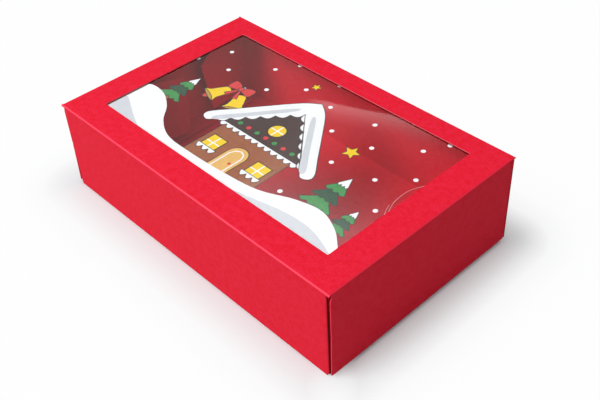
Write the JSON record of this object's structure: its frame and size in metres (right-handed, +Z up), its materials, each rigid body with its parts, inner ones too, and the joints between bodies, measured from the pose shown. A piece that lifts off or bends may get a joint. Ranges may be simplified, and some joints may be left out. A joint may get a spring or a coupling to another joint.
{
  "type": "windowed tuck-end carton",
  "caption": "Low rectangular paperboard sweet box with a die-cut top window behind clear film, closed at each end by a tuck flap with a tongue and folding dust flaps.",
  "frame": {"origin": "on the ground under the middle of the closed box", "axes": "+X along the box towards the right end flap, +Y from the front panel towards the back panel, +Z up"},
  "size_m": [0.22, 0.138, 0.058],
  "materials": {
    "card": "matte",
    "film": "gloss",
    "glue": "satin"
  },
  "bodies": {
    "sleeve": {"top_panel": "card", "front_panel": "card", "bottom_panel": "card", "back_panel": "card", "top_front_fold": "card", "bottom_front_fold": "card", "top_back_fold": "card", "bottom_back_fold": "card", "seam_flap": "card", "seam_glue": "glue", "window_film": "film", "film_glue": "glue", "right_end_fold": "card", "right_front_dust_fold": "card", "right_back_dust_fold": "card", "left_end_fold": "card", "left_front_dust_fold": "card", "left_back_dust_fold": "card"},
    "right_flap": {"right_end_flap": "card", "right_tongue_fold": "card"},
    "right_tuck": {"right_tongue": "card"},
    "right_front_dust": {"right_front_dust_flap": "card"},
    "right_back_dust": {"right_back_dust_flap": "card"},
    "left_flap": {"left_end_flap": "card", "left_tongue_fold": "card"},
    "left_tuck": {"left_tongue": "card"},
    "left_front_dust": {"left_front_dust_flap": "card"},
    "left_back_dust": {"left_back_dust_flap": "card"}
  },
  "joints": [
    {"name": "right_end_opens", "type": "hinge", "parent": "sleeve", "child": "right_flap", "pos_m": [0.1089, 0, 0.0569], "axis": [0, -1, 0], "range_deg": [0, 165], "deforming": ["right_end_fold"]},
    {"name": "right_tongue_folds", "type": "hinge", "parent": "right_flap", "child": "right_tuck", "pos_m": [0.1089, 0, 0.00195], "axis": [0, 1, 0], "range_deg": [0, 42], "deforming": ["right_tongue_fold"]},
    {"name": "right_front_dust_swings", "type": "hinge", "parent": "sleeve", "child": "right_front_dust", "pos_m": [0.1071, -0.0679, 0.029], "axis": [0, 0, -1], "range_deg": [0, 58], "deforming": ["right_front_dust_fold"]},
    {"name": "right_back_dust_swings", "type": "hinge", "parent": "sleeve", "child": "right_back_dust", "pos_m": [0.10861, 0.0679, 0.029], "axis": [0, 0, 1], "range_deg": [0, 58], "deforming": ["right_back_dust_fold"]},
    {"name": "left_end_opens", "type": "hinge", "parent": "sleeve", "child": "left_flap", "pos_m": [-0.1089, 0, 0.0569], "axis": [0, 1, 0], "range_deg": [0, 165], "deforming": ["left_end_fold"]},
    {"name": "left_tongue_folds", "type": "hinge", "parent": "left_flap", "child": "left_tuck", "pos_m": [-0.1089, 0, 0.00195], "axis": [0, -1, 0], "range_deg": [0, 42], "deforming": ["left_tongue_fold"]},
    {"name": "left_front_dust_swings", "type": "hinge", "parent": "sleeve", "child": "left_front_dust", "pos_m": [-0.1071, -0.0679, 0.029], "axis": [0, 0, 1], "range_deg": [0, 58], "deforming": ["left_front_dust_fold"]},
    {"name": "left_back_dust_swings", "type": "hinge", "parent": "sleeve", "child": "left_back_dust", "pos_m": [-0.10861, 0.0679, 0.029], "axis": [0, 0, -1], "range_deg": [0, 58], "deforming": ["left_back_dust_fold"]}
  ],
  "couplings": [
    {"joint": "right_tongue_folds", "follows": "right_end_opens", "ratio": 0.25},
    {"joint": "right_front_dust_swings", "follows": "right_end_opens", "ratio": 0.35},
    {"joint": "right_back_dust_swings", "follows": "right_end_opens", "ratio": 0.35},
    {"joint": "left_tongue_folds", "follows": "left_end_opens", "ratio": 0.25},
    {"joint": "left_front_dust_swings", "follows": "left_end_opens", "ratio": 0.35},
    {"joint": "left_back_dust_swings", "follows": "left_end_opens", "ratio": 0.35}
  ]
}
